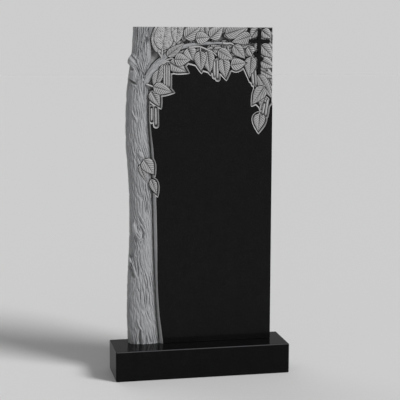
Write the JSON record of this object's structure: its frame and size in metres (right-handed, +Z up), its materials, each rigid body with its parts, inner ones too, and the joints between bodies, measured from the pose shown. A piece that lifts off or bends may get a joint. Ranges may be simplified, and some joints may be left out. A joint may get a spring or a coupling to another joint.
{
  "type": "headstone",
  "caption": "Upright polished granite headstone on a low plinth, with a birch tree, leaves, catkins and a cross carved in counter-relief along its left edge and top.",
  "frame": {"origin": "middle of the plinth's underside", "axes": "+Z up, +X to the right as seen from the front, the polished face looks along -Y"},
  "size_m": [0.7, 0.2, 1.375],
  "materials": {
    "plinth_granite": "polished black granite",
    "stele_granite": "black granite, polished on the face and sides, matte light grey where it is carved"
  },
  "bodies": {
    "root": {"plinth": "plinth_granite", "stele": "stele_granite"}
  },
  "joints": []
}
